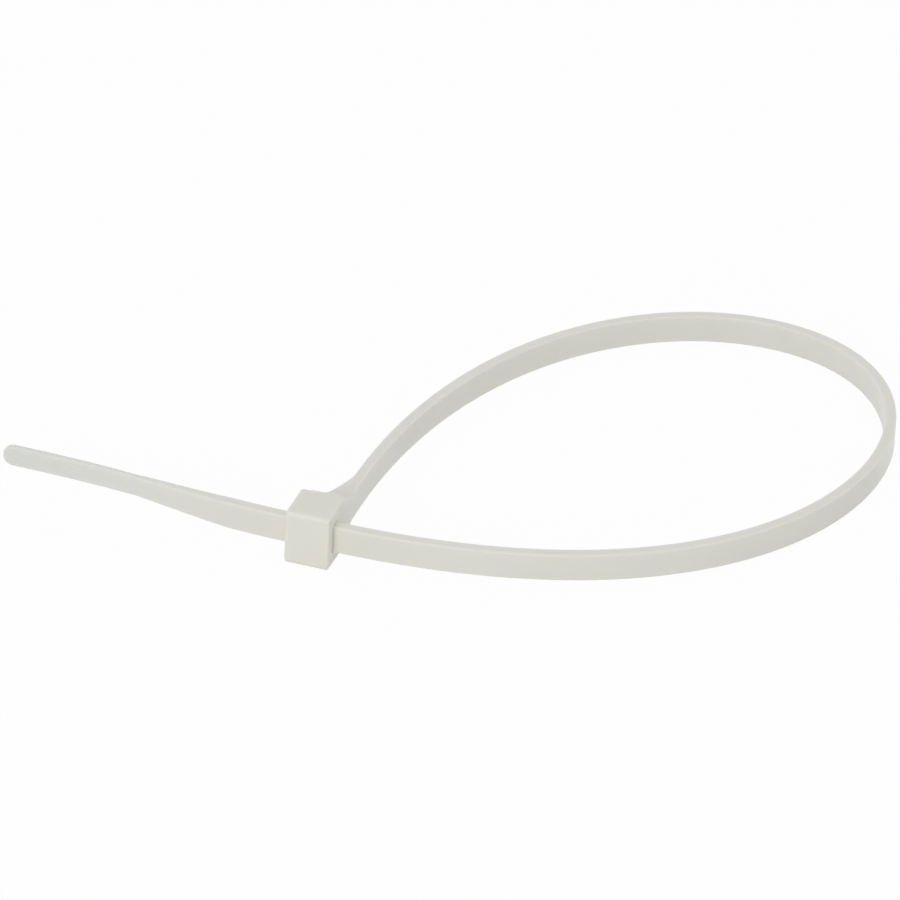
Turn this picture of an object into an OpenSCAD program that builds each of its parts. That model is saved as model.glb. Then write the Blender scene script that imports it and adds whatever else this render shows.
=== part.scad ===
// Cable tie, moulded in one piece from natural nylon, with its strap passed through its own head.
// It lies on the edge of its loop: the head is wider than the strap, so one side of the head
// and the far end of the loop touch the surface, and the loop slopes down to it a little.
//
// The head has a frame of its own: "along" runs from its front face towards the strap's root,
// "through" runs from the face where the strap goes in to the face where it comes out.

/* [Strap] */
// Width of the strap
strap_w = 2.5; // [2.2:0.1:3.2]
// Thickness of the strap round the loop
strap_t = 0.95; // [0.8:0.05:1.05]
// Width of the plain rail on each side of the teeth
rail_w = 0.4; // [0.3:0.05:0.5]
// Depth of the toothed channel below the rails
channel_depth = 0.1; // [0.05:0.05:0.2]

/* [Teeth] */
// Distance from one tooth to the next
tooth_pitch = 0.9; // [0.7:0.1:1.3]
// Depth of the gaps between the teeth, below the channel
tooth_depth = 0.22; // [0.15:0.01:0.3]
// Length of the flat crest of a tooth
tooth_crest = 0.28; // [0.2:0.02:0.4]
// Length of the slope of a tooth, on the side towards the root
tooth_slope = 0.4; // [0.2:0.02:0.4]
// Plain length of strap between the head and the first tooth, a little more than the back of the loop
plain_root = 77; // [60:1:90]
// Plain length of tail beyond the last tooth
plain_tail = 18; // [14:1:24]

/* [Loop] */
// Turn of the head, from the long axis of the loop to the strap's root
head_turn = 72.5; // [68:0.5:77]
// Reach of the loop, from the head's corner to the middle of the strap at the far end
loop_reach = 47.7; // [44:0.1:60]
// Offset of the far end from the head's corner, across the loop
loop_offset = 23.7; // [21:0.1:26]
// Angle by which the root leans out from the head
root_lean = 3; // [0:0.2:6]
// How far the strap runs on in the root's direction before it bends away
root_run = 46; // [40:0.5:52]
// Roundness of the far end of the loop, on the side of the root
far_back_run = 21.5; // [18:0.5:26]
// Roundness of the far end of the loop, on the side of the tail
far_front_run = 13; // [9:0.5:17]
// How far the strap keeps the slot's direction before the head
entry_run = 33.5; // [28:0.5:39]

/* [Tail] */
// Length of the tail beyond the head
tail_len = 26.7; // [22:0.1:40]
// Sideways sweep of the tail's tip, towards the root
tail_sweep = 1.8; // [0:0.1:3]
// Width of the tail after its taper
tail_w = 1.85; // [1.4:0.05:2.1]
// Thickness of the tail after its taper
tail_t = 0.5; // [0.35:0.05:0.6]
// Length of full width between the head and the taper
taper_start = 5.5; // [4:0.5:9]
// Length of the taper
taper_len = 9; // [5:0.5:11]
// Share of the tail that sets how long it keeps the slot's direction
tail_straight = 0.42; // [0.3:0.02:0.6]
// Share of the tail that sets how early it turns back to that direction
tail_return = 0.62; // [0.3:0.02:0.64]

/* [Head] */
// Length of the head, along the root
head_len = 4.25; // [4.1:0.05:5]
// Height of the head, through the slot
head_high = 3.95; // [3.8:0.05:4.6]
// Width of the head
head_w = 5.1; // [4.5:0.05:6]
// Radius of the head's edges
head_edge_r = 0.25; // [0.15:0.05:0.5]
// Wall in front of the slot
front_wall = 1.15; // [0.8:0.05:1.3]
// Clearance between the strap and the slot, on each side
slot_gap = 0.05; // [0.05:0.05:0.2]
// Flare of the slot's mouth
mouth_flare = 0.1; // [0.1:0.05:0.3]
// Distance of the root's middle from the face where the strap goes in
root_set = 0.55; // [0.55:0.05:0.8]
// Height by which the neck stands out from the strap's outer face at the head
neck_swell = 2.3; // [1.6:0.1:2.3]
// Length over which the neck thins to the strap
neck_len = 5.6; // [4:0.1:7]
// How hollow the neck's outside is, where 1 is a straight slope
neck_hollow = 1.4; // [1.2:0.1:2]
// Length over which the neck narrows from the head to the strap
flare_len = 2.2; // [1.6:0.1:3.6]
// How hollow the neck's sides are, where 1 is a straight slope
flare_hollow = 1.3; // [1.2:0.1:2]

/* [Pawl] */
// Thickness of the pawl
pawl_t = 0.5; // [0.4:0.05:0.55]
// Room behind the pawl for it to give way
pawl_room = 0.35; // [0.2:0.05:0.4]
// Length of the pawl's root, where it joins the head
pawl_root = 1.1; // [0.9:0.05:1.3]
// Distance of the pawl's tip below the face where the strap comes out
pawl_sink = 0.4; // [0.2:0.05:0.6]
// Clearance between the pawl and the strap's teeth, and beside the pawl
pawl_gap = 0.06; // [0.04:0.02:0.1]
// Number of teeth on the pawl
pawl_teeth = 2; // [1:1:2]
// Length of the slope of the pawl's teeth
pawl_slope = 0.5; // [0.4:0.02:0.6]
// Distance of the last tooth below the pawl's tip
pawl_lip = 0.3; // [0.2:0.05:0.4]

/* [Hidden] */
nylon = [0.85, 0.85, 0.81];
// Steps in which each stretch of the strap is drawn
loop_steps = 60;
tail_steps = 16;
neck_steps = 20;
$fn = 48;
// How far the strap's root and the neck are sunk in the head, past its rounded edge
root_sunk = 0.25;
neck_sunk = 0.1;
// By how much a cut reaches past what it cuts, and a blend sinks into what it joins
over = 1;
sink = 0.02;

channel_w = strap_w - 2 * rail_w;
slot_along = front_wall + slot_gap + strap_t / 2;
slot_back = slot_along + strap_t / 2 + slot_gap;
slot_w = strap_w + 2 * slot_gap;
pawl_w = channel_w - 2 * pawl_gap;
pawl_top = head_high - pawl_sink;
last_pawl_tooth = pawl_top - pawl_lip;

// How far the neck stands out beyond the strap, outside and on each side, at a distance from the head
side_step = (head_w - strap_w) / 2;
function swell(x) = neck_swell * pow(1 - max(0, x) / neck_len, neck_hollow);
function flare(x) = side_step * pow(1 - min(max(0, x) / flare_len, 1), flare_hollow);

// Points on a cubic curve, and its direction
function on_curve(c, u) =
    pow(1 - u, 3) * c[0] + 3 * pow(1 - u, 2) * u * c[1] + 3 * (1 - u) * u * u * c[2] + pow(u, 3) * c[3];
function way_on_curve(c, u) =
    let (d = pow(1 - u, 2) * (c[1] - c[0]) + 2 * (1 - u) * u * (c[2] - c[1]) + u * u * (c[3] - c[2]))
    d / norm(d);
function left_of(d) = [-d.y, d.x];
function toward(angle) = [cos(angle), sin(angle)];

// A place given in the head's frame, as a point of the plan
function from_head(along, through) = along * toward(head_turn) + through * toward(head_turn + 90);

// The middle line of the strap: round the back to the far end, round the front to the slot,
// straight through the head, and out along the tail
root = from_head(head_len, root_set);
far_end = [loop_reach, loop_offset];
slot_in = from_head(slot_along, 0);
slot_out = from_head(slot_along, head_high);
tip = from_head(slot_along + tail_sweep, head_high + tail_len);
back_curve = [root, root + root_run * toward(head_turn + root_lean),
              far_end - far_back_run * toward(-90), far_end];
front_curve = [far_end, far_end + far_front_run * toward(-90),
               slot_in - entry_run * toward(head_turn + 90), slot_in];
head_curve = [slot_in, slot_in + (slot_out - slot_in) / 3, slot_in + (slot_out - slot_in) * 2 / 3, slot_out];
tail_curve = [slot_out, slot_out + tail_straight * tail_len * toward(head_turn + 90),
              tip - tail_return * tail_len * toward(head_turn + 90), tip];

// Each stop holds a point of the middle line and the direction there
function stops(c, n) = [for (i = [1:n]) [on_curve(c, i / n), way_on_curve(c, i / n)]];
root_way = way_on_curve(back_curve, 0);
route = concat([[root - (head_edge_r + root_sunk) * root_way, root_way], [root, root_way]],
               stops(back_curve, loop_steps), stops(front_curve, loop_steps),
               stops(head_curve, 2), stops(tail_curve, tail_steps));
last = len(route) - 1;

// Distance run along the strap at each stop, counted from the slot's mouth
function runs(r) = [for (i = 0, s = 0; i < len(r);
                         s = s + norm(r[min(i + 1, len(r) - 1)][0] - r[i][0]), i = i + 1) s];
run_from_start = runs(route);
mouth_stop = 1 + 2 * loop_steps;
run = [for (s = run_from_start) s - run_from_start[mouth_stop]];
x_by_run = [for (i = [0:last]) [run[i], route[i][0].x]];
y_by_run = [for (i = [0:last]) [run[i], route[i][0].y]];
dx_by_run = [for (i = [0:last]) [run[i], route[i][1].x]];
dy_by_run = [for (i = [0:last]) [run[i], route[i][1].y]];
function way_at(s) = let (d = [lookup(s, dx_by_run), lookup(s, dy_by_run)]) d / norm(d);

// A point at distance s along the strap and depth v from its middle towards the loop's inside,
// and the same with the distance counted from the head's back
function at_run(s, v) = [lookup(s, x_by_run), lookup(s, y_by_run)] - v * left_of(way_at(s));
function at_root(x, v) = at_run(run[1] + x, v);

// The strap thins with the taper of its tail
taper_from = head_high + taper_start;
function thickness(s) = lookup(s, [[taper_from, strap_t], [taper_from + taper_len, tail_t]]);
strap_outline = concat(
    [for (i = [0:last]) route[i][0] + thickness(run[i]) / 2 * left_of(route[i][1])],
    [for (i = [last:-1:0]) route[i][0] - thickness(run[i]) / 2 * left_of(route[i][1])]);

// Depths of the channel's floor and of the gaps between the teeth
channel_v = strap_t / 2 - channel_depth;
gap_v = channel_v - tooth_depth;
// The gaps are counted from the one that the pawl's last tooth is in
first_tooth = ceil((run[1] + plain_root - last_pawl_tooth) / tooth_pitch);
last_tooth = floor((head_high + tail_len - plain_tail - last_pawl_tooth) / tooth_pitch);
function steep_side(i) = last_pawl_tooth + i * tooth_pitch;
channel_from = steep_side(first_tooth) - tooth_pitch;
channel_to = steep_side(last_tooth) + tooth_crest;

// Rest: how far the loop slopes from the head's side down to the far end
contact_x = from_head(head_len - head_edge_r, head_edge_r).x;
rest_tilt = atan(side_step / (loop_reach + strap_t / 2 - contact_x));
far_lean = strap_w / 2 * sin(rest_tilt);
plan = concat(strap_outline, [for (a = [0, head_len]) for (b = [0, head_high]) from_head(a, b)]);
low = [min([for (p = plan) p.x]), min([for (p = plan) p.y])];
high = [max([for (p = plan) p.x]), max([for (p = plan) p.y])];
centre = (low + high) / 2;

module in_head_frame() {
    rotate(head_turn)
        children();
}

// A plate drawn in the head's along and through directions
module side_plate(width) {
    translate([0, 0, -width / 2])
        linear_extrude(width)
            children();
}

// A plate drawn along the head and across it, which reaches past both of its faces
module face_plate() {
    translate([0, head_high + over, 0])
        rotate([90, 0, 0])
            linear_extrude(head_high + 2 * over)
                children();
}

// A bar drawn across the head and through it, of a length along the head
module end_bar(length) {
    rotate([0, 90, 0])
        linear_extrude(length)
            translate([-head_w / 2, 0])
                children();
}

module rounded_rectangle(size, r) {
    translate([r, 0])
        square([size.x - 2 * r, size.y]);
    translate([0, r])
        square([size.x, size.y - 2 * r]);
    for (x = [r, size.x - r])
        for (y = [r, size.y - r])
            translate([x, y])
                circle(r);
}

module head_block() {
    intersection() {
        side_plate(head_w)
            rounded_rectangle([head_len, head_high], head_edge_r);
        face_plate()
            translate([0, -head_w / 2])
                rounded_rectangle([head_len, head_w], head_edge_r);
        translate([-over, 0, 0])
            end_bar(head_len + 2 * over)
                rounded_rectangle([head_w, head_high], head_edge_r);
    }
}

// One cut of the slot, from low to high, with a flared mouth on the face where the strap goes in
module slot_cut(low, high) {
    polygon([[low - mouth_flare - over, -over], [high + mouth_flare + over, -over],
             [high, mouth_flare], [high, head_high + over],
             [low, head_high + over], [low, mouth_flare]]);
}

module slot() {
    intersection() {
        side_plate(head_w)
            slot_cut(front_wall, slot_back);
        end_bar(head_len)
            translate([head_w / 2, 0])
                slot_cut(-slot_w / 2, slot_w / 2);
    }
}

module pawl_pocket() {
    pocket_back = slot_back + pawl_t + pawl_room;
    side_plate(pawl_w + 2 * slot_gap)
        polygon([[slot_back - slot_gap, pawl_root], [pocket_back, pawl_root],
                 [pocket_back, head_high + over], [slot_back - slot_gap, head_high + over]]);
}

// The pawl springs from the head beside the slot's mouth, and its teeth stand in the strap's gaps
module pawl() {
    foot = pawl_root - over / 2;
    tooth_reach = slot_along + gap_v + pawl_gap;
    lower_tooth = last_pawl_tooth - (pawl_teeth - 1) * tooth_pitch;
    side_plate(pawl_w)
        polygon(concat(
            [[slot_back + pawl_t, foot], [slot_back + pawl_t, pawl_top], [slot_back, pawl_top]],
            [for (i = [pawl_teeth - 1:-1:0])
                for (p = [[slot_back, 0], [tooth_reach, 0], [slot_back, -pawl_slope]])
                    [p.x, p.y + lower_tooth + i * tooth_pitch - pawl_gap]],
            [[slot_back, foot]]));
}

// The neck thickens the strap on its outside and widens it on both sides, up to the head
module neck() {
    stub = head_edge_r + neck_sunk;
    half_t = strap_t / 2 - sink;
    half_w = strap_w / 2 - sink;
    function places(length) = concat([-stub], [for (i = [0:neck_steps]) length * i / neck_steps]);
    outside = places(neck_len);
    side = concat(places(flare_len), [neck_len + over]);
    intersection() {
        side_plate(head_w)
            polygon(concat([for (x = outside) at_root(x, -half_t - swell(x))],
                           [for (i = [len(outside) - 1:-1:0]) at_root(outside[i], half_t)]));
        in_head_frame()
            face_plate()
                polygon(concat([for (x = side) [head_len + x, half_w + flare(x)]],
                               [for (i = [len(side) - 1:-1:0]) [head_len + side[i], -half_w - flare(side[i])]]));
    }
}

module toothed_channel() {
    across_way = strap_t / 2 + over / 2;
    count = ceil((channel_to - channel_from) / tooth_pitch);
    linear_extrude(channel_w, center = true)
        polygon(concat(
            [for (i = [0:count]) at_run(channel_from + (channel_to - channel_from) * i / count, across_way)],
            [at_run(channel_to, channel_v)],
            [for (i = [last_tooth:-1:first_tooth])
                for (p = [[0, channel_v], [0, gap_v], [tooth_slope - tooth_pitch + tooth_crest, gap_v],
                          [tooth_crest - tooth_pitch, channel_v]])
                    at_run(steep_side(i) + p.x, p.y)],
            [at_run(channel_from, channel_v)]));
}

// What the taper and the round tip take off the tail, seen from the side
module tail_trim() {
    tail_end = head_high + tail_len;
    half = strap_w / 2 + over;
    translate([slot_along + tail_sweep + strap_t + over, 0, 0])
        rotate([0, -90, 0])
            linear_extrude(tail_sweep + 2 * strap_t + 2 * over)
                difference() {
                    translate([-half, taper_from])
                        square([2 * half, tail_end - taper_from + over]);
                    polygon([[-strap_w / 2, taper_from - over], [strap_w / 2, taper_from - over],
                             [strap_w / 2, taper_from], [tail_w / 2, taper_from + taper_len],
                             [tail_w / 2, tail_end - tail_w / 2], [-tail_w / 2, tail_end - tail_w / 2],
                             [-tail_w / 2, taper_from + taper_len], [-strap_w / 2, taper_from]]);
                    translate([0, tail_end - tail_w / 2])
                        circle(tail_w / 2);
                }
}

module strap() {
    difference() {
        linear_extrude(strap_w, center = true)
            polygon(strap_outline);
        toothed_channel();
        in_head_frame()
            tail_trim();
    }
}

module head() {
    difference() {
        union() {
            in_head_frame()
                head_block();
            neck();
        }
        in_head_frame() {
            slot();
            pawl_pocket();
        }
    }
    in_head_frame()
        pawl();
}

module cable_tie() {
    color(nylon)
        translate([-centre.x * cos(rest_tilt) - far_lean / 2, -centre.y,
                   contact_x * sin(rest_tilt) + head_w / 2 * cos(rest_tilt)])
            rotate([0, rest_tilt, 0]) {
                strap();
                head();
            }
}

cable_tie();
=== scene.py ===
import bmesh
import bpy
import numpy as np
from mathutils import Matrix, Vector


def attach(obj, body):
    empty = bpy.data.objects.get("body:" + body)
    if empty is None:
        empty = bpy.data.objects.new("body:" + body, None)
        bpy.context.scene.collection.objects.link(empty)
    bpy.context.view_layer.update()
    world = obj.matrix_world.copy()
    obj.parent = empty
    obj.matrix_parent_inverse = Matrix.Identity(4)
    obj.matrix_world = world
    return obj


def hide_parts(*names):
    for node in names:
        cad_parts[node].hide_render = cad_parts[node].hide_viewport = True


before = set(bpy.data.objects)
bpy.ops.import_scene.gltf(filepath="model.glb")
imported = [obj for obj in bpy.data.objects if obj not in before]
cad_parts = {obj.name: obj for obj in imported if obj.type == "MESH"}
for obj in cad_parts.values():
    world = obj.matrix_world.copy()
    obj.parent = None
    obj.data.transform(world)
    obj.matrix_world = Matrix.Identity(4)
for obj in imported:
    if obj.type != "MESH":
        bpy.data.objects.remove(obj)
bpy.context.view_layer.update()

# Driving sizes of the tie, in millimetres and degrees, under the names that they have in the part's source
strap_w, strap_t, rail_w, channel_depth = 2.5, 0.95, 0.4, 0.1
tooth_pitch, tooth_depth, tooth_crest, tooth_slope = 0.9, 0.22, 0.28, 0.4
plain_root, plain_tail = 77, 18
head_turn, loop_reach, loop_offset = 72.5, 47.7, 23.7
root_lean, root_run, far_back_run, far_front_run, entry_run = 3, 46, 21.5, 13, 33.5
tail_len, tail_sweep, tail_w, tail_t = 26.7, 1.8, 1.85, 0.5
taper_start, taper_len, tail_straight, tail_return = 5.5, 9, 0.42, 0.62
head_len, head_high, head_w, head_edge_r = 4.25, 3.95, 5.1, 0.25
front_wall, slot_gap, mouth_flare, root_set = 1.15, 0.05, 0.1, 0.55
neck_swell, neck_len, neck_hollow, flare_len, flare_hollow = 2.3, 5.6, 1.4, 2.2, 1.3
pawl_t, pawl_room, pawl_root, pawl_sink, pawl_gap = 0.5, 0.35, 1.1, 0.4, 0.06
pawl_teeth, pawl_slope, pawl_lip = 2, 0.5, 0.3

# Small roundings for the looks: the strap's outer and inner edges, the head's corners round the slot, the slot's
# own corners and its rim
strap_edge_r, inner_edge_r = 0.09, 0.05
head_corner_r, slot_corner_r, slot_rim_r = 0.4, 0.12, 0.06

# A rounding of the strap's edge takes at most these shares of its half width and half thickness, and one half of the
# flat between the outer ones has its points at these shares of that half
edge_of_width, edge_of_thickness = 0.4, 0.8
flat_points = np.array([[0, 0.5, 0.9]])

# How far the strap's end and the pawl's foot are sunk in the head, and the share of the step from the strap's side to
# the head's by which the neck stays inside the head's sides
root_sunk, foot_sunk, side_sunk = 0.6, 0.5, 0.02

# The channel: the most of the strap's half width that it takes, half the run of a tooth's steep side, the chamfer of
# the rails' inner edges, and where one half of its section has its points, as shares of that half
channel_most, steep_run, rail_chamfer = 0.55, 0.012, 0.02
channel_points = np.array([[1.06, 1.012, 0.976, 0.5, 0]])

# The tail's round end: the least share of its width, the share of its thickness at the very end, and how far back
# from there it has its full thickness
end_width, end_thickness, end_thinned = 0.02, 0.35, 0.25

# The outer wall's points beside the pocket stand this much further apart than the pocket's corners, and a trace of
# the pocket's depth keeps those corners apart where there is no pocket
pocket_spread, pocket_trace = 1.25, 0.004

# How finely the surfaces are drawn: steps of a curve, of the way through the slot and of a quarter circle, and the
# angle in degrees up to which two faces share a smooth shine
curve_steps, slot_steps, arc_steps = 400, 10, 6
smooth_up_to = 38

# The strap's rings: how many on the neck and on the tail's round end, the step between the others, and the room that
# these leave beside the neck, the teeth and the round end
neck_rings, end_rings = 60, 25
ring_step, ring_room, end_room = 0.35, 0.2, 0.05

# The head's rings: how close one lies to a corner in the slot, and the others' places as shares of the face, of the
# outer wall's and the pocket's height, and of the mouth's flare
corner_ring = 0.05
face_rings, wall_rings, pocket_ring, flare_ring = (0.15, 0.85), (0.3, 0.5, 0.7), 0.6, 0.8

# The nylon: its tints as linear red, green and blue, where the head's tint is full and where it ends, in lengths of
# the head from its middle, the range of its roughness and how much more of it the head has
strap_tints = (0.765, 0.758, 0.696), (0.805, 0.798, 0.739)
tail_tint, head_tint = (0.735, 0.742, 0.712), (0.822, 0.808, 0.724)
head_tint_full, head_tint_none = 0.5, 1.1
satin, head_duller = (0.22, 0.42), 0.2

# Its cloudy pattern and the fine one of its skin, in lumps to the metre and layers of detail, the skin's strength and
# height in metres, how it bends light, and the share, reach and colours of the light inside it
cloud_scale, cloud_detail = 180, 3
skin_scale, skin_detail, skin_strength, skin_height = 2600, 2, 0.12, 0.00004
nylon_ior, glow, glow_reach, glow_colours = 1.53, 0.6, 0.0006, (1.0, 0.95, 0.8)

# The room: the floor's size, sides, paint and share of plain white, the sky, and the place, size and power of the
# lamps, in metres and watts
floor_radius, floor_sides, floor_paint, floor_white = 0.75, 64, (0.9, 0.9, 0.9, 1), 0.96
plain_white = (1, 1, 1, 1)
sky_tint, sky_strength = (0.98, 0.99, 1, 1), 0.68
key_lamp = (-0.27, -0.6, 0.35), 0.3, 1.11
fill_lamp = (0.45, 0.45, 0.4), 0.4, 0.29

# The photograph's camera: its distance in millimetres, its angles in degrees, the picture's scale, where the head's
# corner, the plan's origin, lies from the point that the camera looks at, in the plan's millimetres, the picture's
# width in pixels and the sensor's in millimetres, and how near and how far the camera sees, in metres
camera_distance = 850.0
camera_elevation = 31.61
camera_roll = -2.715
pixels_per_mm = 11.669
corner_in_view = np.array([-9.86, -16.45])
image_size = 900
sensor_width = 36.0
nearest_seen, farthest_seen = 0.05, 10

# A millimetre, and the distance below which two points are one, in metres
MM = 0.001
weld_gap = 0.000001

# Sizes that follow from the driving ones
slot_along = front_wall + slot_gap + strap_t / 2
slot_back = slot_along + strap_t / 2 + slot_gap
slot_w = strap_w + 2 * slot_gap
channel_w = strap_w - 2 * rail_w
pawl_w = channel_w - 2 * pawl_gap
pawl_top = head_high - pawl_sink
last_pawl_tooth = pawl_top - pawl_lip
pocket_deep = pawl_t + pawl_room
side_step = (head_w - strap_w) / 2
taper_from = head_high + taper_start
taper_to = taper_from + taper_len
end_r = tail_w / 2


def toward(angle):
    """The plan's unit vector at an angle in degrees: the angle's cosine and sine."""
    return np.array([np.cos(np.radians(angle)), np.sin(np.radians(angle))])


def from_head(along, through):
    """Plan point of the head's own distances: along times the root's direction plus through times its normal."""
    along, through = np.broadcast_arrays(np.asarray(along, float), np.asarray(through, float))
    return along[..., None] * toward(head_turn) + through[..., None] * toward(head_turn + 90)


def cubic(points, steps):
    """Places on a cubic curve after its start: each control point times its Bernstein weight, at even parameters."""
    u = np.linspace(0, 1, steps + 1)[1:, None]
    p0, p1, p2, p3 = points
    return (1 - u) ** 3 * p0 + 3 * (1 - u) ** 2 * u * p1 + 3 * (1 - u) * u ** 2 * p2 + u ** 3 * p3


def quarter(steps):
    """Angles of a quarter circle in even steps, both ends with it."""
    return np.linspace(0, np.pi / 2, steps + 1)


# The middle line of the strap, as in the part's source: back of the loop, front, through the head, tail
root = from_head(head_len, root_set)
far_end = np.array([loop_reach, loop_offset])
slot_in = from_head(slot_along, 0)
slot_out = from_head(slot_along, head_high)
tip = from_head(slot_along + tail_sweep, head_high + tail_len)
root_way = toward(head_turn + root_lean)
slot_way = toward(head_turn + 90)
down = toward(-90)
back_curve = [root, root + root_run * root_way, far_end - far_back_run * down, far_end]
front_curve = [far_end, far_end + far_front_run * down, slot_in - entry_run * slot_way, slot_in]
tail_curve = [slot_out, slot_out + tail_straight * tail_len * slot_way,
              tip - tail_return * tail_len * slot_way, tip]
route = np.vstack([root - (head_edge_r + root_sunk) * root_way, root,
                   cubic(back_curve, curve_steps), cubic(front_curve, curve_steps),
                   slot_in + (slot_out - slot_in) * np.linspace(0, 1, slot_steps + 1)[1:, None],
                   cubic(tail_curve, curve_steps)])

# Distances along it, counted from the slot's mouth, and its direction at each of its points
route_run = np.concatenate([[0], np.cumsum(np.linalg.norm(np.diff(route, axis=0), axis=1))])
mouth = 1 + 2 * curve_steps
route_run = route_run - route_run[mouth]
root_at = route_run[1]
tip_at = route_run[-1]
route_way = np.gradient(route, route_run, axis=0)
route_way /= np.linalg.norm(route_way, axis=1)[:, None]


def at_run(run, inward):
    """Plan point at a distance along the strap's middle line, less its left-hand normal times the distance inward,
    which is towards the loop's inside."""
    spot = np.stack([np.interp(run, route_run, route[:, k]) for k in (0, 1)], axis=-1)
    way = np.stack([np.interp(run, route_run, route_way[:, k]) for k in (0, 1)], axis=-1)
    way /= np.linalg.norm(way, axis=-1)[..., None]
    left = np.stack([-way[..., 1], way[..., 0]], axis=-1)
    return spot - np.asarray(inward)[..., None] * left


def thickness_at(run):
    """Full thickness up to the taper, from there straight down to the tail's, and the tail's from its end on."""
    return np.interp(run, [taper_from, taper_to], [strap_t, tail_t])


# How the tie lies: on one side of the head and on the lower edge of the loop's far end, with its footprint centred
contact_x = from_head(head_len - head_edge_r, head_edge_r)[0]
rest_tilt = np.arctan(side_step / (loop_reach + strap_t / 2 - contact_x))
outline = np.vstack([at_run(route_run, side * thickness_at(route_run) / 2) for side in (-1, 1)]
                    + [from_head(a, b)[None] for a in (0, head_len) for b in (0, head_high)])
plan_centre = (outline.min(axis=0) + outline.max(axis=0)) / 2
far_lean = strap_w / 2 * np.sin(rest_tilt)
place_turn = np.array([[np.cos(rest_tilt), 0, np.sin(rest_tilt)],
                       [0, 1, 0],
                       [-np.sin(rest_tilt), 0, np.cos(rest_tilt)]])
place_shift = np.array([-plan_centre[0] * np.cos(rest_tilt) - far_lean / 2,
                        -plan_centre[1],
                        contact_x * np.sin(rest_tilt) + head_w / 2 * np.cos(rest_tilt)])


def placed(points):
    """Plan points and heights in millimetres, turned by the rest tilt about the Y axis, moved to rest, in metres."""
    return (points @ place_turn.T + place_shift) * MM


def solid_from_grid(name, grid, wraps):
    """Mesh of a grid of points, rings by places round the ring. It closes round each ring, and from the last ring to
    the first if it wraps, or else with a cap on each end."""
    rings, around = grid.shape[:2]
    index = np.arange(rings * around).reshape(rings, around)
    this = index if wraps else index[:-1]
    following = np.roll(index, -1, axis=0) if wraps else index[1:]
    quads = np.stack([this, np.roll(this, -1, axis=1), np.roll(following, -1, axis=1), following], axis=-1)
    faces = quads.reshape(-1, 4).tolist()
    if not wraps:
        faces += [index[0, ::-1].tolist(), index[-1].tolist()]
    mesh = bpy.data.meshes.new(name)
    mesh.from_pydata(placed(grid.reshape(-1, 3)).tolist(), [], faces)
    mesh.update()
    piece = bpy.data.objects.new(name, mesh)
    bpy.context.scene.collection.objects.link(piece)
    point_outwards(piece)
    return piece


def point_outwards(piece):
    """Turns the faces round where the enclosed volume, the sum of the faces' cones to the middle of the points, comes
    out negative."""
    mesh = piece.data
    mesh.calc_loop_triangles()
    corners = np.empty(len(mesh.vertices) * 3)
    mesh.vertices.foreach_get("co", corners)
    corners = corners.reshape(-1, 3)
    corners = corners - corners.mean(axis=0)
    tris = np.empty(len(mesh.loop_triangles) * 3, dtype=np.int32)
    mesh.loop_triangles.foreach_get("vertices", tris)
    a, b, c = corners[tris.reshape(-1, 3)].transpose(1, 0, 2)
    if np.einsum("ij,ij->i", a, np.cross(b, c)).sum() < 0:
        mesh.flip_normals()


def teeth_along_strap():
    """How deep the strap's inner side is cut at places along it, with straight lines between them: not at all, then
    the channel's depth, and for each tooth, a pitch on from the one before, its crest at the channel's depth, a slope
    down to the gap's floor and a steep side up again. Gives the places, the depths, and the channel's two ends."""
    first_tooth = np.ceil((root_at + plain_root - last_pawl_tooth) / tooth_pitch)
    last_tooth = np.floor((head_high + tail_len - plain_tail - last_pawl_tooth) / tooth_pitch)
    steep = last_pawl_tooth + np.arange(first_tooth, last_tooth + 1) * tooth_pitch
    crest_end = steep - tooth_pitch + tooth_crest
    gap_depth = channel_depth + tooth_depth
    teeth = np.stack([crest_end, crest_end + tooth_slope, steep - steep_run, steep + steep_run], axis=1).ravel()
    tooth_depths = np.tile([channel_depth, gap_depth, gap_depth, channel_depth], len(steep))
    start, end = steep[0] - tooth_pitch, steep[-1] + tooth_crest
    places = np.concatenate([[start - steep_run, start + steep_run], teeth, [end - steep_run, end + steep_run]])
    return places, np.concatenate([[0, channel_depth], tooth_depths, [channel_depth, 0]]), start, end


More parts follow.
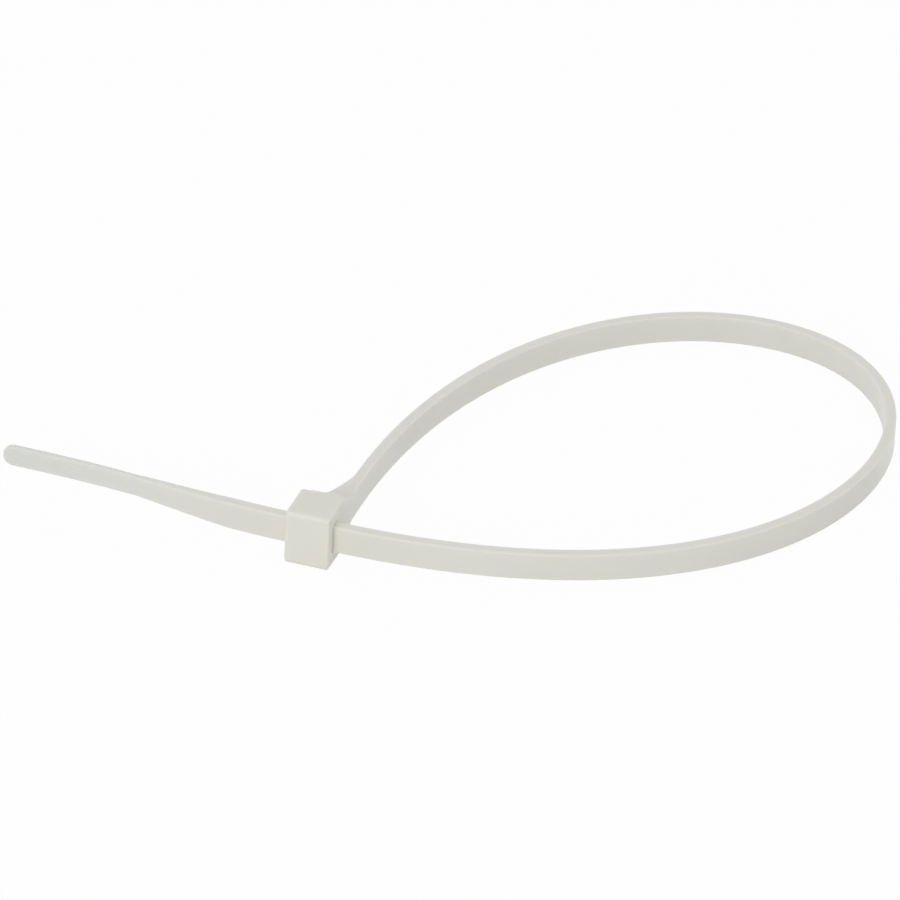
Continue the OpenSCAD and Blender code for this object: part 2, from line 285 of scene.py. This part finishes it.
def strap_surface():
    """The strap with its neck: a rounded section carried along the middle line. The section is as wide and as thick as
    the place along the strap says, and its inner side has two rails, a channel between them and the teeth in it."""
    # Rings: fine over the neck and the round end, at every corner of a tooth, and evenly elsewhere
    tooth_places, tooth_depths, channel_from, channel_to = teeth_along_strap()
    neck_places = root_at + np.linspace(-root_sunk - head_edge_r / 2, neck_len, neck_rings)
    end_places = tip_at - end_r * (1 - np.cos(quarter(end_rings)[1:]))
    plain_places = np.concatenate([np.arange(root_at + neck_len + ring_room, channel_from - ring_room, ring_step),
                                   np.arange(channel_to + ring_room, tip_at - end_r - end_room, ring_step)])
    run = np.sort(np.concatenate([neck_places, plain_places, tooth_places, end_places]))
    depth = np.interp(run, tooth_places, tooth_depths)

    # Half widths and thicknesses: straight tapers, a circle and a square root at the round end, and powers of what is
    # left of the flare's and the neck's lengths for the neck's hollow sides and outside. Over the flare the roundings
    # shrink from the head's to the strap's
    from_tip = np.clip(tip_at - run, 0, None)
    half_w = np.interp(run, [taper_from, taper_to], [strap_w / 2, tail_w / 2])
    round_end = np.sqrt(np.clip(end_r ** 2 - np.clip(end_r - from_tip, 0, None) ** 2, 0, None)) / end_r
    half_w = half_w * np.maximum(round_end, end_width)
    thinning = np.sqrt(np.clip(from_tip / end_thinned, 0, 1))
    half_t = thickness_at(run) / 2 * (end_thickness + (1 - end_thickness) * thinning)
    out = run - root_at
    half_w = half_w + side_step * (1 - np.clip(out / flare_len, 0, 1)) ** flare_hollow * (1 - side_sunk)
    swell = neck_swell * (1 - np.clip(out / neck_len, 0, 1)) ** neck_hollow
    widest_r = np.minimum(half_w * edge_of_width, half_t * edge_of_thickness)
    edge_r, inner_r = (np.minimum(np.interp(out, [0, flare_len], [head_corner_r, radius]), widest_r)
                       for radius in (strap_edge_r, inner_edge_r))

    # One half of the section, from the middle of the outer side to the middle of the inner side, and its mirror image
    run, depth, half_w, half_t, swell, edge_r, inner_r = (
        x[:, None] for x in (run, depth, half_w, half_t, swell, edge_r, inner_r))
    turn = quarter(arc_steps)[None]
    outer, inner = -half_t - swell, half_t
    channel_half = np.minimum(channel_w / 2, half_w * channel_most)
    inward = np.concatenate([outer * np.ones_like(flat_points), outer + edge_r * (1 - np.cos(turn)),
                             (outer + inner) / 2, inner - inner_r * (1 - np.sin(turn)),
                             inner, inner - rail_chamfer * (depth > 0),
                             inner - depth, inner - depth, inner - depth], axis=1)
    across = np.concatenate([(half_w - edge_r) * flat_points, half_w - edge_r * (1 - np.sin(turn)),
                             half_w, half_w - inner_r * (1 - np.cos(turn)),
                             channel_half * channel_points], axis=1)
    inward = np.concatenate([inward, inward[:, -2:0:-1]], axis=1)
    across = np.concatenate([across, -across[:, -2:0:-1]], axis=1)
    spots = at_run(np.broadcast_to(run, inward.shape), inward)
    return solid_from_grid("strap", np.concatenate([spots, across[..., None]], axis=-1), wraps=False)


def rounded_corner(corner, signs, start, radius):
    """A quarter circle that rounds a corner, from a start angle in degrees on: the corner, less the radius times the
    signs of its quarter, plus the radius times each angle's unit vector. Gives the points and the vectors."""
    angle = np.radians(start) + quarter(arc_steps)
    ways = np.stack([np.cos(angle), np.sin(angle)], axis=1)
    return np.array(corner) - signs * radius + radius * ways, ways


def head_outlines():
    """The head's outer outline and the slot's in it, point for point round the slot, in along and across. Gives the
    outer points, the ways in which an inset draws them in, the slot's points, the ways in which a growth lets them
    out, and the ways in which the pocket's depth moves them."""
    half, slot_half, pocket_half = head_w / 2, slot_w / 2, pawl_w / 2 + slot_gap
    corners = [(head_len, half), (0, half), (0, -half), (head_len, -half)]
    slot_corners = [(slot_back, slot_half), (front_wall, slot_half), (front_wall, -slot_half), (slot_back, -slot_half)]
    sides = []
    for turns, (corner, slot_corner) in enumerate(zip(corners, slot_corners)):
        signs = np.array([1 if corner[0] else -1, np.sign(corner[1])])
        outer, outer_ways = rounded_corner(corner, signs, 90 * turns, head_corner_r)
        slot, slot_ways = rounded_corner(slot_corner, signs, 90 * turns, slot_corner_r)
        sides.append((outer, outer_ways, slot, slot_ways, np.zeros_like(slot)))

    # The side towards the root holds the pocket, with its two corners on each side
    marks = np.array([-pocket_half, -pocket_half, 0, pocket_half, pocket_half])
    spread = [pocket_spread, 1, 1, 1, pocket_spread]
    sides.append((np.stack([np.full_like(marks, head_len), marks * spread], axis=1),
                  np.tile([1.0, 0.0], (len(marks), 1)),
                  np.stack([np.full_like(marks, slot_back), marks], axis=1),
                  np.array([[1, -1], [1, -1], [1, 0], [1, 1], [1, 1]], float),
                  np.array([[0, 0], [1, 0], [1, 0], [1, 0], [0, 0]], float)))
    return [np.vstack(column) for column in zip(*sides)]


def head_rings():
    """The rings that run round the slot, each as its inset, its share of the slot's outline, its growth, its pocket's
    depth and its height through the head: over the rounded edge of the face where the tail comes out, across that
    face, over the slot's rim, down the pocket and the slot, out of the flared mouth, across the other face, over its
    rounded edge and up the outer wall. A rounding takes from its radius the radius times the cosine one way, and the
    radius times the sine the other way."""
    arc = quarter(arc_steps)
    edge = [(head_edge_r * (1 - np.cos(a)), head_edge_r * (1 - np.sin(a))) for a in arc]
    rim = [(slot_rim_r * (1 - np.sin(a)), slot_rim_r * (1 - np.cos(a))) for a in arc[::2]]
    pocket_heights = head_high * pocket_ring, pawl_root + corner_ring, pawl_root
    slot_heights = pawl_root, pawl_root - corner_ring, mouth_flare + corner_ring
    flares = corner_ring, mouth_flare * flare_ring, mouth_flare
    rings = [(inset, 0, 0, 0, head_high - drop) for inset, drop in edge]
    rings += [(head_edge_r, share, slot_rim_r, pocket_deep, head_high) for share in face_rings]
    rings += [(head_edge_r, 1, growth, pocket_deep, head_high - drop) for growth, drop in rim]
    rings += [(head_edge_r, 1, 0, pocket_deep, height) for height in pocket_heights]
    rings += [(head_edge_r, 1, 0, pocket_trace, height) for height in slot_heights]
    rings += [(head_edge_r, 1, growth, pocket_trace, mouth_flare - growth) for growth in flares]
    rings += [(head_edge_r, share, mouth_flare, pocket_trace, 0) for share in face_rings[::-1]]
    rings += [(inset, 0, 0, 0, rise) for inset, rise in edge[::-1]]
    rings += [(0, 0, 0, 0, head_high * share) for share in wall_rings]
    return rings


def head_surface():
    """The head with its slot. Each point is a mix, by the ring's share, of the outer outline drawn in by the ring's
    inset, and of the slot's outline let out by its growth and by its pocket's depth."""
    outer, outer_ways, slot, slot_ways, pocket_ways = head_outlines()
    inset, share, growth, pocket, height = (np.array(x)[:, None, None] for x in zip(*head_rings()))
    flat = ((1 - share) * (outer - inset * outer_ways)
            + share * (slot + growth * slot_ways + pocket * pocket_ways))
    through = np.broadcast_to(height[..., 0], flat.shape[:2])
    spots = from_head(flat[..., 0], through)
    return solid_from_grid("head", np.concatenate([spots, flat[..., 1:]], axis=-1), wraps=True)


def pawl_surface():
    """The pawl: its side view, with the teeth that stand in the strap's gaps, carried straight across the head."""
    foot = pawl_root - foot_sunk
    gap_floor = strap_t / 2 - channel_depth - tooth_depth
    reach = slot_along + gap_floor + pawl_gap
    steps = last_pawl_tooth - pawl_gap - tooth_pitch * np.arange(pawl_teeth)
    teeth = np.stack([np.stack([np.full(pawl_teeth, slot_back), steps], axis=1),
                      np.stack([np.full(pawl_teeth, reach), steps], axis=1),
                      np.stack([np.full(pawl_teeth, slot_back), steps - pawl_slope], axis=1)], axis=1).reshape(-1, 2)
    profile = np.vstack([[slot_back + pawl_t, foot], [slot_back + pawl_t, pawl_top], [slot_back, pawl_top],
                         teeth, [slot_back, foot]])
    spots = from_head(profile[:, 0], profile[:, 1])
    grid = np.stack([np.concatenate([spots, np.full((len(spots), 1), z)], axis=1) for z in (-pawl_w / 2, pawl_w / 2)])
    return solid_from_grid("pawl", grid, wraps=False)


def grown_together(name, parts):
    """One closed mesh of pieces that reach into each other: their union, with points welded that lie closer than the
    weld gap. The pieces themselves are taken away."""
    whole = parts[0]
    for other in parts[1:]:
        union = whole.modifiers.new("union", "BOOLEAN")
        union.operation = "UNION"
        union.solver = "EXACT"
        union.object = other
        done = bpy.data.meshes.new_from_object(whole.evaluated_get(bpy.context.evaluated_depsgraph_get()))
        whole.modifiers.clear()
        whole.data = done
        bpy.data.objects.remove(other)
    shell = bmesh.new()
    shell.from_mesh(whole.data)
    bmesh.ops.remove_doubles(shell, verts=shell.verts, dist=weld_gap)
    bmesh.ops.dissolve_degenerate(shell, edges=shell.edges, dist=weld_gap)
    shell.to_mesh(whole.data)
    shell.free()
    whole.name = name
    whole.data.name = name
    return whole


def mixed_colour(nodes, links, share, first, second):
    """A colour socket that goes from the first colour to the second as the share goes from 0 to 1. Each of the two is
    either a colour or another colour socket."""
    share_in, first_in, second_in, colour_out = 0, 6, 7, 2
    mix = nodes.new("ShaderNodeMix")
    mix.data_type = "RGBA"
    links.new(share, mix.inputs[share_in])
    for socket, colour in ((mix.inputs[first_in], first), (mix.inputs[second_in], second)):
        if isinstance(colour, tuple):
            socket.default_value = (*colour, 1)
        else:
            links.new(colour, socket)
    return mix.outputs[colour_out]


def falling_share(nodes, links, value, full_at, none_at):
    """A socket that is 1 where the value is full_at and falls smoothly to 0 at none_at."""
    fall = nodes.new("ShaderNodeMapRange")
    fall.interpolation_type = "SMOOTHSTEP"
    for name, number in (("From Min", none_at), ("From Max", full_at), ("To Min", 0), ("To Max", 1)):
        fall.inputs[name].default_value = number
    links.new(value, fall.inputs["Value"])
    return fall.outputs["Result"]


def noise(nodes, links, where, scale, detail):
    """A socket of smooth noise on the piece's own coordinates, with scale lumps to the metre and layers of detail."""
    pattern = nodes.new("ShaderNodeTexNoise")
    pattern.inputs["Scale"].default_value = scale
    pattern.inputs["Detail"].default_value = detail
    links.new(where, pattern.inputs["Vector"])
    return pattern.outputs["Fac"]


def nylon_material():
    """Natural nylon: a pale body that lets light into it, warmer and lighter where it is thick, at the head, and more
    neutral towards the thin tail. Its satin skin varies a little in gloss and surface, and is duller at the head."""
    material = bpy.data.materials.new("natural_nylon")
    material.use_nodes = True
    nodes, links = material.node_tree.nodes, material.node_tree.links
    shader = nodes["Principled BSDF"]
    where = nodes.new("ShaderNodeTexCoord").outputs["Object"]
    cloudy = noise(nodes, links, where, cloud_scale, cloud_detail)
    colour = mixed_colour(nodes, links, cloudy, *strap_tints)

    # The tail's share grows from the head to the tip, and the head's falls with the distance from its middle
    place = nodes.new("ShaderNodeSeparateXYZ")
    links.new(where, place.inputs[0])
    tip_x, head_x = placed(np.append(tip, 0))[0], placed(np.append(slot_out, 0))[0]
    thin = falling_share(nodes, links, place.outputs["X"], tip_x, head_x)
    colour = mixed_colour(nodes, links, thin, colour, tail_tint)
    middle = nodes.new("ShaderNodeVectorMath")
    middle.operation = "DISTANCE"
    links.new(where, middle.inputs[0])
    middle.inputs[1].default_value = placed(np.append(from_head(head_len / 2, head_high / 2), 0))
    thick = falling_share(nodes, links, middle.outputs["Value"],
                          head_len * head_tint_full * MM, head_len * head_tint_none * MM)
    colour = mixed_colour(nodes, links, thick, colour, head_tint)
    links.new(colour, shader.inputs["Base Color"])

    # The roughness goes over its range with the cloudy pattern, and rises with the head's share
    gloss = nodes.new("ShaderNodeMapRange")
    gloss.inputs["To Min"].default_value, gloss.inputs["To Max"].default_value = satin
    links.new(cloudy, gloss.inputs["Value"])
    duller = nodes.new("ShaderNodeMath")
    duller.operation = "MULTIPLY_ADD"
    duller.inputs[1].default_value = head_duller
    links.new(thick, duller.inputs[0])
    links.new(gloss.outputs["Result"], duller.inputs[2])
    links.new(duller.outputs[0], shader.inputs["Roughness"])

    skin = nodes.new("ShaderNodeBump")
    skin.inputs["Strength"].default_value = skin_strength
    skin.inputs["Distance"].default_value = skin_height
    links.new(noise(nodes, links, where, skin_scale, skin_detail), skin.inputs["Height"])
    links.new(skin.outputs["Normal"], shader.inputs["Normal"])
    shader.inputs["IOR"].default_value = nylon_ior
    shader.inputs["Subsurface Weight"].default_value = glow
    shader.inputs["Subsurface Radius"].default_value = glow_colours
    shader.inputs["Subsurface Scale"].default_value = glow_reach
    return material


def seen_share(nodes, links):
    """A socket that is 1 for what the camera sees, directly, mirrored or through something clear, and 0 for the light
    itself: the largest of the three kinds of ray."""
    ray = nodes.new("ShaderNodeLightPath")
    seen = ray.outputs["Is Camera Ray"]
    for kind in ("Is Glossy Ray", "Is Transmission Ray"):
        either = nodes.new("ShaderNodeMath")
        either.operation = "MAXIMUM"
        links.new(seen, either.inputs[0])
        links.new(ray.outputs[kind], either.inputs[1])
        seen = either.outputs[0]
    return seen


def glowing_white(nodes, kind):
    """A surface or sky of the given kind that gives plain white light, at strength 1."""
    white = nodes.new(kind)
    white.inputs["Color"].default_value = plain_white
    white.inputs["Strength"].default_value = 1
    return white.outputs[0]


def mixed_look(nodes, links, share, lit, white):
    """A look that goes from the lit one to the white one as the share goes from 0 to 1."""
    mix = nodes.new("ShaderNodeMixShader")
    for socket, source in zip(mix.inputs, (share, lit, white)):
        links.new(source, socket)
    return mix.outputs[0]


def floor_material():
    """The floor's paint: matt white that takes the shadow, with a share of plain white for what the camera sees."""
    material = bpy.data.materials.new("white_floor")
    material.use_nodes = True
    nodes, links = material.node_tree.nodes, material.node_tree.links
    nodes.clear()
    paint = nodes.new("ShaderNodeBsdfDiffuse")
    paint.inputs["Color"].default_value = floor_paint
    whitened = nodes.new("ShaderNodeMath")
    whitened.operation = "MULTIPLY"
    whitened.inputs[1].default_value = floor_white
    links.new(seen_share(nodes, links), whitened.inputs[0])
    look = mixed_look(nodes, links, whitened.outputs[0], paint.outputs[0], glowing_white(nodes, "ShaderNodeEmission"))
    links.new(look, nodes.new("ShaderNodeOutputMaterial").inputs["Surface"])
    return material


def lay_floor():
    """A round white floor, level with what the tie lies on: even angles round the origin at one radius."""
    angle = np.arange(floor_sides) * 2 * np.pi / floor_sides
    rim = np.stack([floor_radius * np.cos(angle), floor_radius * np.sin(angle), np.zeros(floor_sides)], axis=1)
    mesh = bpy.data.meshes.new("floor")
    mesh.from_pydata(rim.tolist(), [], [list(range(floor_sides))])
    floor = bpy.data.objects.new("floor", mesh)
    bpy.context.scene.collection.objects.link(floor)
    mesh.materials.append(floor_material())


def hang_lamp(name, place, size, power):
    """A square soft lamp at a place, turned to face the tie at the origin."""
    light = bpy.data.lights.new(name, "AREA")
    light.shape = "SQUARE"
    light.size = size
    light.energy = power
    lamp = bpy.data.objects.new(name, light)
    lamp.location = place
    lamp.rotation_mode = "QUATERNION"
    lamp.rotation_quaternion = (-Vector(place)).to_track_quat("-Z", "Y")
    bpy.context.scene.collection.objects.link(lamp)


def light_the_room():
    """An even pale sky, which the camera sees as white, a soft lamp in front on the left and a weaker one behind on
    the right."""
    world = bpy.data.worlds.new("pale_room")
    world.use_nodes = True
    nodes, links = world.node_tree.nodes, world.node_tree.links
    sky = nodes["Background"]
    sky.inputs["Color"].default_value = sky_tint
    sky.inputs["Strength"].default_value = sky_strength
    look = mixed_look(nodes, links, seen_share(nodes, links), sky.outputs[0],
                      glowing_white(nodes, "ShaderNodeBackground"))
    links.new(look, nodes["World Output"].inputs["Surface"])
    bpy.context.scene.world = world
    hang_lamp("key_lamp", *key_lamp)
    hang_lamp("fill_lamp", *fill_lamp)


def set_up_camera():
    """The photograph's view: a camera that looks at the middle of the picture from the front, at its elevation and
    distance, turned by its roll, all in the plan's own frame, and carried along when the tie is laid down."""
    elevation, roll = np.radians(camera_elevation), np.radians(camera_roll)
    forward = np.array([0, np.cos(elevation), -np.sin(elevation)])
    level_up = np.array([0, np.sin(elevation), np.cos(elevation)])
    level_right = np.array([1.0, 0, 0])
    right = level_right * np.cos(roll) + np.cross(forward, level_right) * np.sin(roll)
    up = level_up * np.cos(roll) + np.cross(forward, level_up) * np.sin(roll)
    spot = -forward * camera_distance - np.append(corner_in_view, 0)
    axes = place_turn @ np.stack([right, up, -forward], axis=1)
    lens = bpy.data.cameras.new("photo_camera")
    lens.sensor_width = sensor_width
    lens.lens = pixels_per_mm * camera_distance * sensor_width / image_size
    lens.clip_start, lens.clip_end = nearest_seen, farthest_seen
    camera = bpy.data.objects.new("photo_camera", lens)
    turn = Matrix(axes.tolist()).to_4x4()
    turn.translation = Vector(placed(spot))
    camera.matrix_world = turn
    bpy.context.scene.collection.objects.link(camera)
    bpy.context.scene.camera = camera


set_up_camera()
light_the_room()
lay_floor()

tie = grown_together("moulded_tie", [head_surface(), pawl_surface(), strap_surface()])
tie.data.materials.clear()
tie.data.materials.append(nylon_material())
tie.data.shade_smooth()
tie.data.set_sharp_from_angle(angle=np.radians(smooth_up_to))
flat_faces = tie.modifiers.new("flat_faces", "WEIGHTED_NORMAL")
flat_faces.keep_sharp = True
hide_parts("cable_tie")
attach(tie, "root")

bpy.context.scene.view_settings.view_transform = "Standard"
